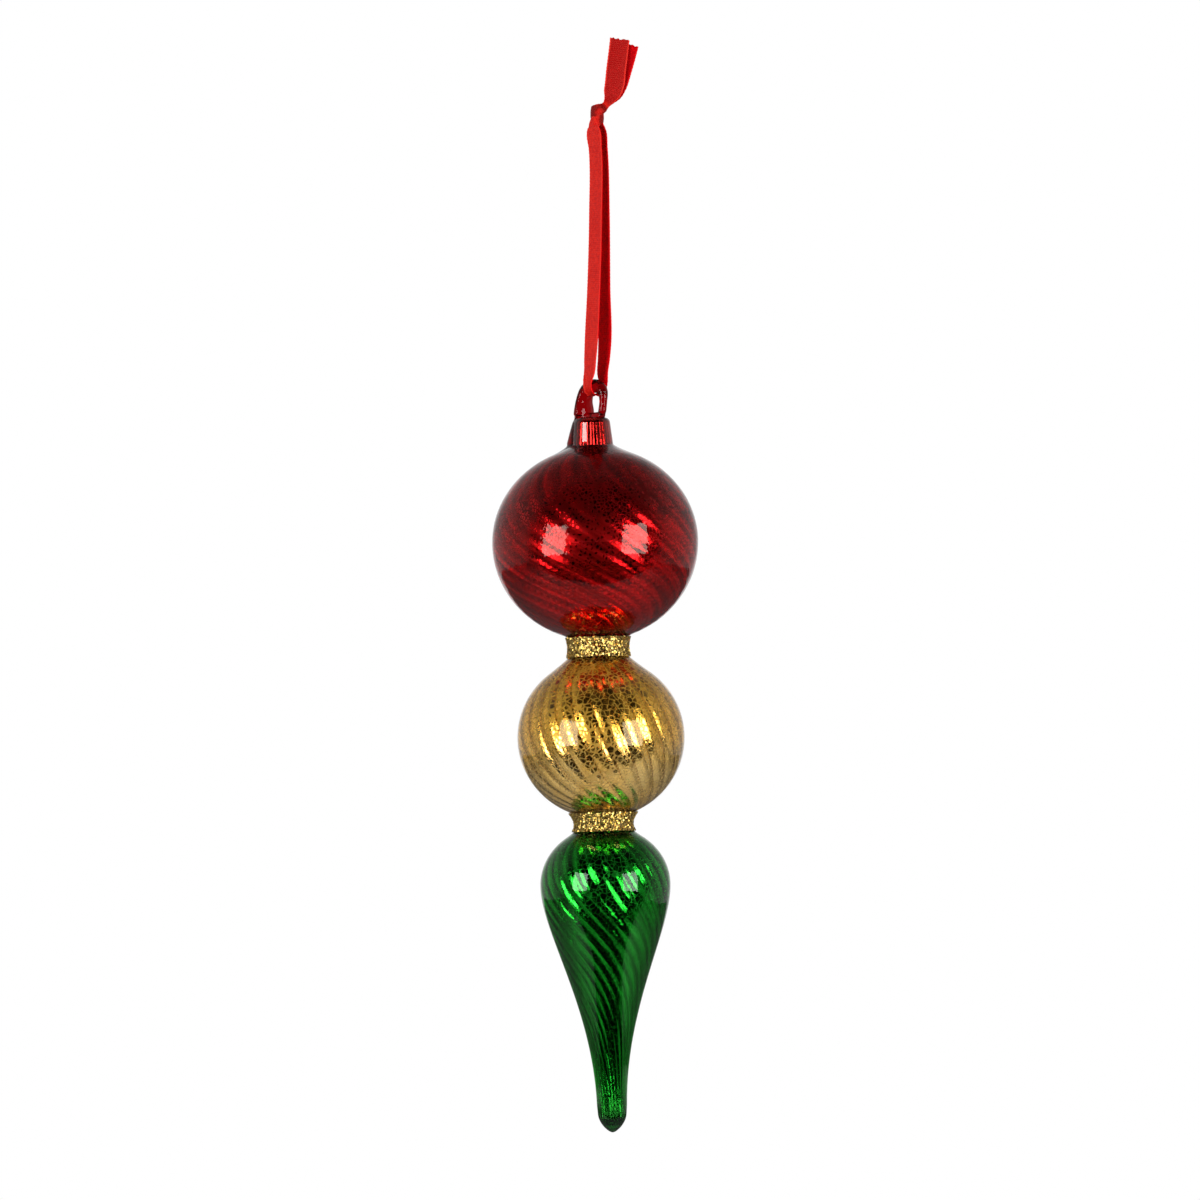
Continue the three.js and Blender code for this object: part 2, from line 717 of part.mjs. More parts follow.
// The glass is modelled about its own axis from the neck's top, then hung by its eye and leaned.
function glass() {
  const sections = new THREE.Group();
  sections.position.set(-eyeX, 0, -eyeRise);
  sections.add(glassHook(), redBulb(), silvering("red_silvering", redLining));
  sections.add(adhesive("upper_adhesive", upperCollarRadius, upperJoint));
  sections.add(
    glitterBand(
      "upper_glitter_band",
      upperCollarRadius,
      upperJoint,
      { half: redOuterLower, centre: redCentre, bandHeight: upperBandRise },
      { half: goldOuterUpper, centre: goldCentre, bandHeight: upperBandDrop },
    ),
  );
  sections.add(goldBulb(), silvering("gold_silvering", goldLining));
  sections.add(adhesive("lower_adhesive", lowerCollarRadius, lowerJoint));
  sections.add(
    glitterBand(
      "lower_glitter_band",
      lowerCollarRadius,
      lowerJoint,
      { half: goldOuterLower, centre: goldCentre, bandHeight: lowerBandRise },
      { half: dropOuterUpper, centre: dropCentre, bandHeight: lowerBandDrop },
    ),
  );
  sections.add(greenDrop(), silvering("green_silvering", dropLining));
  const hung = new THREE.Group();
  hung.position.z = -loopDrop;
  hung.rotation.y = -degrees(lean);
  hung.add(sections);
  return hung;
}

const ornament = new THREE.Group();
ornament.add(ribbon(), glass());

export default ornament;
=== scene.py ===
# Glass finial ornament: the looks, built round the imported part. Metres, +Z up, in the part's own frame.
import json
import math
import random

import bpy
import numpy as np
from mathutils import Matrix, Vector


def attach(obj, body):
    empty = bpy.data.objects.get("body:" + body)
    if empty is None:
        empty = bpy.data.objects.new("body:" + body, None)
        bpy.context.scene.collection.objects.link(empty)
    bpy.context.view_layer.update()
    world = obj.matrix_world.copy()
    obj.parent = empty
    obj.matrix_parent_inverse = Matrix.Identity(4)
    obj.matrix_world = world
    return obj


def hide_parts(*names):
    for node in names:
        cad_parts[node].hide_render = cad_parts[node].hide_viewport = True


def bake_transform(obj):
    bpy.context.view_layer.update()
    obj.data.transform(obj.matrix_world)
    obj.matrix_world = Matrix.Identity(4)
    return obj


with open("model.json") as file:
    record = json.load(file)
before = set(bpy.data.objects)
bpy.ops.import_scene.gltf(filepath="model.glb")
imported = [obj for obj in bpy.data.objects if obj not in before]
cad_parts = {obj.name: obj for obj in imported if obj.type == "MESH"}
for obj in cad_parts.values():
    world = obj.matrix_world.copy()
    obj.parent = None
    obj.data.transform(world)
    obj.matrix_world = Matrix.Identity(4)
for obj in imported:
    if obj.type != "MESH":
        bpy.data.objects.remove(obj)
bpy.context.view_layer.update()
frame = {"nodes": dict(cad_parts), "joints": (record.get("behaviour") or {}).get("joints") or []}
print("frame loaded")

photoAzimuth = math.radians(50)
toCamera = Vector((math.sin(photoAzimuth), -math.cos(photoAzimuth), 0))
toRight = Vector((math.cos(photoAzimuth), math.sin(photoAzimuth), 0))
up = Vector((0, 0, 1))


# Where the glass hangs: its axis runs through the two glitter bands, and its zero is the neck's top.
def nodePoints(node):
    mesh = frame["nodes"][node].data
    points = np.empty(len(mesh.vertices) * 3)
    mesh.vertices.foreach_get("co", points)
    return points.reshape(-1, 3)


upperWaist = Vector(nodePoints("upper_glitter_band").mean(0))
lowerWaist = Vector(nodePoints("lower_glitter_band").mean(0))
glassUp = (upperWaist - lowerWaist).normalized()
neckTop = upperWaist + glassUp * max((nodePoints("red_bulb") - np.array(upperWaist)) @ np.array(glassUp))
lean = math.atan2(-glassUp.x, glassUp.z)
glassFrame = Matrix.Translation(neckTop) @ Matrix.Rotation(-lean, 4, "Y")
swing = [joint for joint in frame["joints"] if joint["name"] == "ornament_swing"][0]
rodCentre = Vector(swing["pos_m"])  # the middle of the ribbon's turn, where the glass eye rocks


def heightsOf(node):  # a node's lowest and highest place along the glass axis
    heights = (nodePoints(node) - np.array(neckTop)) @ np.array(glassUp)
    return heights.min(), heights.max()


print("glass axis leans", round(math.degrees(lean), 2), "degrees, neck top at", tuple(neckTop))

bpy.context.scene.view_settings.view_transform = "Standard"

# Camera: at the photograph's angle, far off, with its frame's width as the scale
camera = {"distance": 2.0, "frameWidth": 0.4048, "besideOrigin": 0.0016, "height": -0.1602}
lens = bpy.data.cameras.new("camera")
lens.sensor_width = 36
lens.lens = lens.sensor_width * camera["distance"] / camera["frameWidth"]
lens.clip_end = 20
viewer = bpy.data.objects.new("camera", lens)
bpy.context.collection.objects.link(viewer)
viewer.location = toCamera * camera["distance"] + toRight * camera["besideOrigin"] + up * camera["height"]
viewer.rotation_euler = (math.pi / 2, 0, photoAzimuth)
bpy.context.scene.camera = viewer


# Shader building
class Wire:
    # a socket that takes part in sums, each of which adds a Math node
    def __init__(self, finish, socket):
        self.finish = finish
        self.socket = socket

    def maths(self, operation, *values):
        return self.finish.node("Math", {"operation": operation}, dict(enumerate(values)))

    def __add__(self, other):
        return self.maths("ADD", self, other)

    __radd__ = __add__

    def __sub__(self, other):
        return self.maths("SUBTRACT", self, other)

    def __rsub__(self, other):
        return self.maths("SUBTRACT", other, self)

    def __mul__(self, other):
        return self.maths("MULTIPLY", self, other)

    __rmul__ = __mul__

    def __abs__(self):
        return self.maths("ABSOLUTE", self)

    def sine(self):
        return self.maths("SINE", self)

    def highest(self, other):
        return self.maths("MAXIMUM", self, other)

    def ease(self, low, high, start=0.0, end=1.0):  # low..high becomes start..end, smoothly and held
        values = {"Value": self, "From Min": low, "From Max": high, "To Min": start, "To Max": end}
        return self.finish.node("MapRange", {"interpolation_type": "SMOOTHSTEP"}, values)


class Finish:
    # a material, or the world, and the one method that adds its nodes
    def __init__(self, name, owner=None):
        self.owner = owner or bpy.data.materials.new(name)
        self.owner.use_nodes = True
        self.tree = self.owner.node_tree
        self.tree.nodes.clear()

    def node(self, kind, settings=None, inputs=None, output=0):
        made = self.tree.nodes.new("ShaderNode" + kind)
        for name, value in (settings or {}).items():
            setattr(made, name, value)
        for name, value in (inputs or {}).items():
            if isinstance(value, Wire):
                self.tree.links.new(value.socket, made.inputs[name])
            elif isinstance(value, (tuple, list)) and made.inputs[name].type == "RGBA":
                made.inputs[name].default_value = (*value, 1)
            else:
                made.inputs[name].default_value = value
        return Wire(self, made.outputs[output]) if made.outputs else None

    def blend(self, factor, first, second):
        return self.node("Mix", {"data_type": "RGBA"}, {0: factor, 6: first, 7: second}, output=2)

    def surface(self, inputs):
        shader = self.node("BsdfPrincipled", {}, inputs)
        self.node("OutputMaterial", {}, {"Surface": shader})
        return self.owner


# Modelling
def clearSelection():
    if bpy.context.object and bpy.context.object.mode == "EDIT":
        bpy.ops.object.mode_set(mode="OBJECT")
    bpy.ops.object.select_all(action="DESELECT")


def only(piece):
    clearSelection()
    piece.select_set(True)
    bpy.context.view_layer.objects.active = piece


def applied(piece, kind, **settings):
    only(piece)
    modifier = piece.modifiers.new(kind.lower(), kind)
    for name, value in settings.items():
        setattr(modifier, name, value)
    bpy.ops.object.modifier_apply(modifier=modifier.name)


def meshPiece(name, vertices, faces):
    mesh = bpy.data.meshes.new(name)
    mesh.from_pydata([tuple(vertex) for vertex in vertices], [], faces)
    piece = bpy.data.objects.new(name, mesh)
    bpy.context.collection.objects.link(piece)
    return piece


def faceOutwards(piece):
    only(piece)
    bpy.ops.object.mode_set(mode="EDIT")
    bpy.ops.mesh.select_all(action="SELECT")
    bpy.ops.mesh.normals_make_consistent(inside=False)
    bpy.ops.object.mode_set(mode="OBJECT")


# Spins an outline of (radius, height) points about Z. A closed outline comes back to its first point.
def spun(name, outline, sides, closed):
    clearSelection()
    bpy.ops.mesh.primitive_circle_add(vertices=len(outline), radius=0.01, fill_type="NOTHING")
    piece = bpy.context.object
    piece.name = piece.data.name = name
    for vertex, (radius, height) in zip(piece.data.vertices, outline):
        vertex.co = (radius, 0, height)
    ends = {0, len(outline) - 1}
    for vertex in piece.data.vertices:
        vertex.select = vertex.index in ends
    for edge in piece.data.edges:
        edge.select = set(edge.vertices) == ends
    bpy.ops.object.mode_set(mode="EDIT")
    if not closed:
        bpy.ops.mesh.delete(type="EDGE")
    bpy.ops.mesh.select_all(action="SELECT")
    bpy.ops.mesh.spin(steps=sides, angle=2 * math.pi, center=(0, 0, 0), axis=(0, 0, 1))
    bpy.ops.mesh.select_all(action="SELECT")
    bpy.ops.mesh.remove_doubles(threshold=1e-6)
    bpy.ops.mesh.delete_loose()
    bpy.ops.object.mode_set(mode="OBJECT")
    faceOutwards(piece)
    return piece


def hung(piece):  # a piece made about the glass axis goes to where the glass hangs
    only(piece)
    piece.matrix_world = glassFrame
    bpy.ops.object.transform_apply(location=True, rotation=True, scale=True)


def finished(piece, body, slot, *materials, angle=40):
    only(piece)
    bpy.ops.object.shade_smooth_by_angle(angle=math.radians(angle))
    for place, material in enumerate(materials):
        if place == len(piece.data.materials):
            piece.data.materials.append(material)
        piece.data.materials[place] = material
    if body:
        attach(piece, body)
    print(piece.name, "made,", len(piece.data.polygons), "faces")


# Ribbon: one length of satin from the end of the front tail, through the knot, round the eye and back.
ribbon = {
    "width": 0.0065,
    "thickness": 0.00026,
    "length": 0.262,
    "knotFoot": 0.0006,
    "knotTurnTop": 0.0052,  # height where the front strand has gone round the knot and leaves it
    "knotRadius": 0.0026,
    "knotHalfWidth": 0.0019,
    "knotLean": 0.0018,
    "knotSaddle": -60,
    "knotFrom": 320,  # degrees round the knot, where the tail runs in and the strand runs out
    "knotTo": -90,
    "knotSteps": 14,
    "strandPinch": 0.0013,  # half the distance between the strands at the knot, and at the eye
    "strandSpread": 0.003,
    "bightRadius": 0.00268,
    "bightHalfWidth": 0.002,
    "bightSaddle": 200,  # how far the bight's edges stand off, per metre of offset squared
    "bightSteps": 10,
    "tailSaddle": -28,
    "columns": 12,
    "step": 0.0006,
    "picot": 0.00009,  # how far the woven edge stands out at every other step
    "tailEnd": 0.0235,  # places along the ribbon, from the front tail's cut end
    "knotEnd": 0.0415,
    "otherTailStart": 0.2345,
}


# The tails: reach to the photograph's right, height, half width, and depth towards the camera
frontTail = [
    (0.0083, 0.0291, 0.00325, 0.0005),
    (0.0077, 0.0240, 0.00325, 0.0006),
    (0.0070, 0.0185, 0.00325, 0.0007),
    (0.0064, 0.0132, 0.0032, 0.0007),
    (0.0056, 0.0104, 0.0028, 0.0007),
    (0.0046, 0.0083, 0.0017, 0.0008),
    (0.0038, 0.0070, 0.0012, 0.0012),
]
backTail = [
    (0.0036, 0.0068, 0.0011, -0.0001),
    (0.0047, 0.0083, 0.0017, -0.0004),
    (0.0060, 0.0104, 0.0028, -0.0006),
    (0.0073, 0.0132, 0.0032, -0.0007),
    (0.0090, 0.0185, 0.00325, -0.0007),
    (0.0105, 0.0238, 0.00325, -0.0006),
    (0.0114, 0.0273, 0.00325, -0.0005),
]


def tailRoute(rows):
    return [
        {
            "at": toRight * reach + toCamera * depth + up * height,
            "out": toCamera if depth > 0 else -toCamera,
            "half": halfWidth,
            "saddle": ribbon["tailSaddle"],
        }
        for reach, height, halfWidth, depth in rows
    ]


# The front strand goes once round the knot, from the tails' side down to the strand.
def knotRoute():
    stations = []
    pinch, first, last = ribbon["strandPinch"], ribbon["knotFrom"], ribbon["knotTo"]
    for i in range(ribbon["knotSteps"] + 1):
        share = i / ribbon["knotSteps"]
        angle = math.radians(first + (last - first) * share)
        out = Vector((math.cos(angle), math.sin(angle), 0))
        rise = 1 - share
        swell = math.sin(math.pi * min(1, 0.25 + 0.75 * share)) ** 0.5 if share < 1 else 0
        radius = pinch + (ribbon["knotRadius"] - pinch) * min(1, 3 * rise)
        centre = toRight * ribbon["knotLean"] * rise**2
        height = ribbon["knotFoot"] + (ribbon["knotTurnTop"] - ribbon["knotFoot"]) * rise
        stations.append({
            "at": centre + out * radius + up * height,
            "out": out,
            "half": ribbon["knotHalfWidth"] * (0.85 + 0.15 * swell),
            "saddle": ribbon["knotSaddle"],
        })
    return stations


def strandRoute(side):  # from the knot down to the eye
    flat = ribbon["width"] / 2
    pinch, spread = ribbon["strandPinch"], ribbon["strandSpread"]
    rows = [  # height, distance from the middle, half width, and shift to the photograph's right
        (-0.0005, pinch, 0.0026, 0.0003),
        (-0.0018, pinch, flat, 0.0004),
        (-0.0080, pinch, flat, 0.0010),
        (-0.0300, pinch + 0.22 * (spread - pinch), flat, 0.0014),
        (-0.0550, pinch + 0.55 * (spread - pinch), flat, 0.0012),
        (-0.0740, spread, flat, 0.0009),
        (-0.0790, spread, 0.0030, 0.0006),
        (rodCentre.z + 0.0037, spread, 0.0026, 0.0002),
    ]
    return [
        {
            "at": Vector((0, side * away, height)) + toRight * shift,
            "out": Vector((0, side, 0)),
            "half": halfWidth,
            "saddle": 0,
        }
        for height, away, halfWidth, shift in rows
    ]


def bightRoute():
    stations = []
    for i in range(ribbon["bightSteps"] + 1):
        angle = math.pi * i / ribbon["bightSteps"]
        out = Vector((0, -math.cos(angle), -math.sin(angle)))
        stations.append({
            "at": rodCentre + out * ribbon["bightRadius"],
            "out": out,
            "half": ribbon["bightHalfWidth"],
            "saddle": ribbon["bightSaddle"],
        })
    return stations


def coreRoute():  # the back strand goes up inside the knot
    low, high = Vector((0, 0.0009, 0.0016)), toRight * 0.0009 + up * 0.0040
    return [
        {"at": low, "out": Vector((0, 1, 0)), "half": 0.0014, "saddle": 0},
        {"at": high, "out": Vector((-0.4, 0.9, 0)), "half": 0.0011, "saddle": 0},
    ]


# A smooth line through the stations at a steady step, with its settings carried along.
def smoothRoute(stations, step):
    keys = np.array([[*s["at"], *s["out"], s["half"], s["saddle"]] for s in stations])
    gaps = np.linalg.norm(np.diff(keys[:, :3], axis=0), axis=1)
    places = np.concatenate([[0], np.cumsum(gaps)])
    slopes = np.gradient(keys, places, axis=0)
    wanted = np.linspace(0, places[-1], int(places[-1] / step) + 1)
    k = np.clip(np.searchsorted(places, wanted, side="right") - 1, 0, len(places) - 2)
    span = (places[k + 1] - places[k])[:, None]
    t = ((wanted - places[k]) / span[:, 0])[:, None]
    start, end = keys[k], keys[k + 1]
    return (
        (2 * t**3 - 3 * t**2 + 1) * start
        + (t**3 - 2 * t**2 + t) * span * slopes[k]
        + (3 * t**2 - 2 * t**3) * end
        + (t**3 - t**2) * span * slopes[k + 1]
    )


def ribbonPiece(materials):
    front, back = strandRoute(-1), strandRoute(1)[::-1]
    stations = tailRoute(frontTail) + knotRoute() + front + bightRoute() + back + coreRoute()
    route = smoothRoute(stations + tailRoute(backTail), ribbon["step"])
    points, outs, halves, saddles = route[:, :3], route[:, 3:6], route[:, 6], route[:, 7]
    along = np.gradient(points, axis=0)
    along /= np.linalg.norm(along, axis=1)[:, None]
    outs -= (outs * along).sum(1)[:, None] * along
    outs /= np.linalg.norm(outs, axis=1)[:, None]
    across = np.cross(along, outs)
    travelled = np.concatenate([[0], np.cumsum(np.linalg.norm(np.diff(points, axis=0), axis=1))])
    columns = ribbon["columns"]
    vertices, faces, places = [], [], []
    for i in range(len(points)):
        for j in range(columns + 1):
            aside = (2 * j / columns - 1) * (halves[i] + ribbon["picot"] * (i % 2))
            lifted = saddles[i] * aside**2
            vertices.append(points[i] + across[i] * aside + outs[i] * lifted)
            places.append((j / columns, travelled[i]))
    for i in range(len(points) - 1):
        for j in range(columns):
            a = i * (columns + 1) + j
            faces.append((a, a + columns + 1, a + columns + 2, a + 1))
    rng = random.Random(3)
    for row, direction in ((0, -1), (len(points) - 1, 1)):  # the cut ends are a little ragged
        for j in range(columns + 1):
            ragged = rng.uniform(-0.00035, 0.00025)
            vertices[row * (columns + 1) + j] += along[row] * ragged * direction
    piece = meshPiece("satin_ribbon", vertices, faces)
    uv = piece.data.uv_layers.new(name="UVMap")
    for loop in piece.data.loops:
        uv.data[loop.index].uv = places[loop.vertex_index]
    for material in materials:
        piece.data.materials.append(material)
    applied(piece, "SOLIDIFY", thickness=ribbon["thickness"], offset=0, material_offset=1)
    return piece, [tuple(point) for point in points]


weave = {
    "threads": 260,  # the angle that the warp's ripples take across the width
    "picks": 9000,  # and the weft's, in a metre
    "fuzz": 1300.0,
    "handling": 75.0,
    "knotFoldShade": 260.0,  # the noise of the painted shade in the knot's folds
    "edgeFrom": 0.42,  # the woven edge, from the middle outwards, in widths
    "edgeTo": 0.45,
}


def satin(name, look):
    finish = Finish(name)
    place = finish.node("UVMap", {"uv_map": "UVMap"})
    across = finish.node("SeparateXYZ", {}, {"Vector": place}, 0)
    along = finish.node("SeparateXYZ", {}, {"Vector": place}, 1)
    threads = (across * weave["threads"]).sine()
    picks = (along * weave["picks"]).sine()
    solid = finish.node("TexCoord", {}, {}, 3)
    fuzz = finish.node("TexNoise", {}, {"Scale": weave["fuzz"], "Detail": 2.0, "Vector": solid})
    handled = finish.node("TexNoise", {}, {"Scale": weave["handling"], "Detail": 2.0, "Vector": solid})
    edge = abs(across - 0.5).ease(weave["edgeFrom"], weave["edgeTo"])
    tail = along.ease(ribbon["tailEnd"] - 0.002, ribbon["tailEnd"], 1.0, 0.0)
    tail = tail.highest(along.ease(ribbon["otherTailStart"], ribbon["otherTailStart"] + 0.002))
    tone = (fuzz + picks * 0.05 + handled * 0.35 - tail * 0.2 - 0.17).ease(0.3, 0.7)
    cloth = finish.blend(tone, look["shade"], look["colour"])
    cloth = finish.blend(tail * 0.75, cloth, finish.blend(tone, look["tailShade"], look["tailColour"]))
    cloth = finish.blend(edge * 0.6, cloth, look["edge"])
    # Painted shade: the knot is darkened overall and along noisy folds, in place of the shade in its wraps
    knot = along.ease(ribbon["tailEnd"], ribbon["tailEnd"] + 0.001)
    knot = knot * along.ease(ribbon["knotEnd"] - 0.001, ribbon["knotEnd"], 1.0, 0.0)
    knotFoldShade = finish.node("TexNoise", {}, {"Scale": weave["knotFoldShade"], "Detail": 1.0, "Vector": solid})
    cloth = finish.blend(knot * 0.35, cloth, look["tailShade"])
    cloth = finish.blend(knot * knotFoldShade.ease(0.45, 0.58, 0.75, 0.0), cloth, look["creaseShade"])
    height = threads * 0.4 + picks * 0.5 + fuzz * 1.6
    bump = finish.node("Bump", {}, {"Height": height, "Strength": 0.3, "Distance": 0.0001})
    return finish.surface({
        "Base Color": cloth,
        "Roughness": fuzz.ease(0.3, 0.7, look["roughness"] - 0.06, look["roughness"] + 0.08),
        "Normal": bump,
        "Specular IOR Level": look["gloss"],
        "Specular Tint": (1.0, 0.30, 0.22),
        "Anisotropic": 0.5,
    })


satinFace = satin("red_satin_face", {
    "colour": (0.58, 0.015, 0.009),
    "shade": (0.43, 0.005, 0.004),
    "tailColour": (0.45, 0.002, 0.004),
    "tailShade": (0.24, 0.001, 0.002),
    # painted shade in the knot's folds
    "creaseShade": (0.10, 0.0005, 0.001),
    "edge": (0.78, 0.030, 0.018),
    "roughness": 0.4,
    "gloss": 0.2,
})
# The satin's dull back side. Its colour is set brighter than the face's: painted light on the back strand,
# which the front strand shades
satinBack = satin("red_satin_back", {
    "colour": (0.85, 0.001, 0.006),
    "shade": (0.62, 0.0005, 0.004),
    "tailColour": (0.50, 0.003, 0.005),
    "tailShade": (0.26, 0.001, 0.002),
    # painted shade in the knot's folds
    "creaseShade": (0.10, 0.0005, 0.001),
    "edge": (0.72, 0.006, 0.008),
    "roughness": 0.6,
    "gloss": 0.03,
})
ribbonObject, ribbonLine = ribbonPiece([satinBack, satinFace])
finished(ribbonObject, None, "red_satin", angle=60)
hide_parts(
    "ribbon_front_strand",
    "ribbon_back_strand",
    "ribbon_bight",
    "ribbon_knot",
    "ribbon_tail_front",
    "ribbon_tail_back",
)
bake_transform(ribbonObject)
print("ribbon done")


# Outlines of the blown sections, as (radius, height) from the lower end up, as the part has them
flareLead = 0.0008  # straight glass between a flare and its collar
glassWall = 0.0014
silverDepth = 0.0012  # the silver lies this far under the glass, bonded in its wall
silverThickness = 0.00025
wallBehind = 0.0024  # the wall's back, hidden behind the silver
redShape = {
    "radius": 0.0348,
    "neckTop": 0.0063,
    "neckHeight": 0.0089,
    "neckEdge": 0.0019,
    "upperHeight": 0.0323,
    "upperCollar": 0.0071,  # the neck's foot
    "upperFlare": 0.0069,
    "lowerHeight": 0.0332,
    "lowerCollar": 0.0096,
    "lowerFlare": 0.0029,
}
goldShape = {
    "radius": 0.0282,
    "upperStep": 0.0025,  # from the joint down to the foot of the flare
    "upperHeight": 0.0273,
    "upperCollar": 0.0096,
    "upperFlare": 0.0074,
    "lowerHeight": 0.0273,
    "lowerCollar": 0.0092,
    "lowerFlare": 0.0029,
}
greenShape = {
    "radius": 0.02195,
    "upperStep": 0.0018,
    "upperHeight": 0.0198,
    "upperCollar": 0.0092,
    "upperFlare": 0.0035,
    "taper": 0.074,
    "shoulder": 0.016,
    "hollow": 0.040,
    "stem": 0.0051,
    "swell": 0.0007,
    "tipLength": 0.0092,
    "tipShoulderRadius": 0.00485,
    "tipShoulder": 0.003,
    "tipRoundRadius": 0.0045,
    "tipRound": 0.0065,
    "tipPoint": 0.28,  # how flat the very end is, as a share of the round
    "hollowEnd": 0.0064,
    "blunt": 0.4,  # a lower power squares the hollow's end
}
spigot = {"height": 0.0042, "inset": 0.0024}
fine = {
    "ball": 30,
    "flare": 8,
    "neck": 8,
    "taper": 50,
    "tip": 14,
    "glassSides": 128,
    "silverSides": 288,
    "longest": 0.0007,  # a straight run is cut to steps of this
    "neckSolid": 0.0004,  # the least edge that a lining's neck keeps
}


def bezier(points, steps):
    made = []
    for i in range(steps + 1):
        level = [Vector(p) for p in points]
        while len(level) > 1:
            level = [a.lerp(b, i / steps) for a, b in zip(level, level[1:])]
        made.append(tuple(level[0]))
    return made


def halfBall(radius, height, collar, flare):
    meetRadius = collar + flare
    meetHeight = height * math.sqrt(1 - (meetRadius / radius) ** 2)
    slope = (height / radius) ** 2 * meetRadius / meetHeight
    turnHeight = meetHeight + flare * slope
    foot = turnHeight + flareLead
    meetAngle = math.acos(meetRadius / radius)
    angles = [meetAngle * i / fine["ball"] for i in range(fine["ball"] + 1)]
    points = [(radius * math.cos(a), height * math.sin(a)) for a in angles]
    settle = bezier([(meetRadius, meetHeight), (collar, turnHeight), (collar, foot)], fine["flare"])
    return {"points": points + settle[1:], "foot": foot}


def stepped(outline):  # adds points to the long straight runs
    made = [outline[0]]
    for end in outline[1:]:
        start, length = made[-1], math.dist(made[-1], end)
        parts = math.ceil(length / fine["longest"]) if length > 2 * fine["longest"] else 1
        made += [tuple(a + (b - a) * i / parts for a, b in zip(start, end)) for i in range(1, parts + 1)]
    return made


def halfOf(shape, side, inset=0):  # the upper or lower half of a section's ball
    radius, height = shape["radius"] - inset, shape[side + "Height"] - inset
    return halfBall(radius, height, shape[side + "Collar"] - inset, shape[side + "Flare"])


def above(half, centre):
    return [(radius, centre + height) for radius, height in half["points"]]


def below(half, centre):
    return [(radius, centre - height) for radius, height in reversed(half["points"])]


def ball(shape, centre, inset):
    return below(halfOf(shape, "lower", inset), centre) + above(halfOf(shape, "upper", inset), centre)[1:]


def redBall(inset):
    return ball(redShape, redCentre, inset)


def goldBall(inset):
    return ball(goldShape, goldCentre, inset)


def redNeck(inset):
    top, radius = -inset, redShape["neckTop"] - inset
    edge = max(redShape["neckEdge"] - inset, fine["neckSolid"])
    angles = [math.pi / 2 * i / fine["neck"] for i in range(fine["neck"] + 1)]
    rounding = [(radius - edge + edge * math.cos(a), top - edge + edge * math.sin(a)) for a in angles]
    foot = (redShape["upperCollar"] - inset, -redShape["neckHeight"])
    return stepped([foot, *rounding])[1:] + [(0, top)]


def dropSide(inset):
    s = greenShape
    widest, narrowest = s["radius"] - inset, s["stem"] - inset
    taper = bezier(
        [
            (widest, dropCentre),
            (widest, dropCentre - s["shoulder"]),
            (narrowest + s["swell"], dropCentre - s["hollow"]),
            (narrowest, dropCentre - s["taper"]),
        ],
        fine["taper"],
    )
    return taper[:0:-1] + above(halfOf(s, "upper", inset), dropCentre)


def outerTip():
    s = greenShape
    end = dropCentre - s["taper"]
    low, radius = end - s["tipLength"], s["tipRoundRadius"]
    side = [(0, low), (radius * s["tipPoint"], low), (radius, end - s["tipRound"])]
    return bezier([*side, (s["tipShoulderRadius"], end - s["tipShoulder"])], fine["tip"])


def innerTip(inset):
    radius = greenShape["stem"] - inset
    end = dropCentre - greenShape["taper"]
    depth = greenShape["hollowEnd"] + glassWall - inset
    angles = [math.pi / 2 * i / fine["tip"] for i in range(fine["tip"])]
    blunt = greenShape["blunt"]
    return [(radius * math.sin(a) ** blunt, end - depth * math.cos(a) ** blunt) for a in angles]


# Heights along the glass axis, from the nodes
fitHalf = 0.00015  # half the gap at a joint
upperJoint = heightsOf("red_bulb")[0] - fitHalf
lowerJoint = heightsOf("gold_bulb")[0] - fitHalf
redCentre = -redShape["neckHeight"] - halfOf(redShape, "upper")["foot"]
goldCentre = upperJoint - goldShape["upperStep"] - halfOf(goldShape, "upper")["foot"]
dropCentre = lowerJoint - greenShape["upperStep"] - halfOf(greenShape, "upper")["foot"]
print("joints at", upperJoint, lowerJoint, "centres at", redCentre, goldCentre, dropCentre)


def spigotOutside(shape, joint):
    collar, foot = shape["upperCollar"], joint - fitHalf
    radius = collar - spigot["inset"]
    return [(collar, foot), (radius, foot), (radius, foot + spigot["height"])]


def spigotInside(shape, joint):
    bore = shape["upperCollar"] - spigot["inset"] - glassWall
    return [(bore, joint - shape["upperStep"]), (bore, joint - fitHalf + spigot["height"])]


blown = {
    "waves": 70.0,
    "ripples": 480.0,
    "relief": 0.0001,
    "neckRise": 0.004,  # over which the ball's surface becomes the neck's
    "neckCalm": 0.88,
    "clouds": 45.0,
}


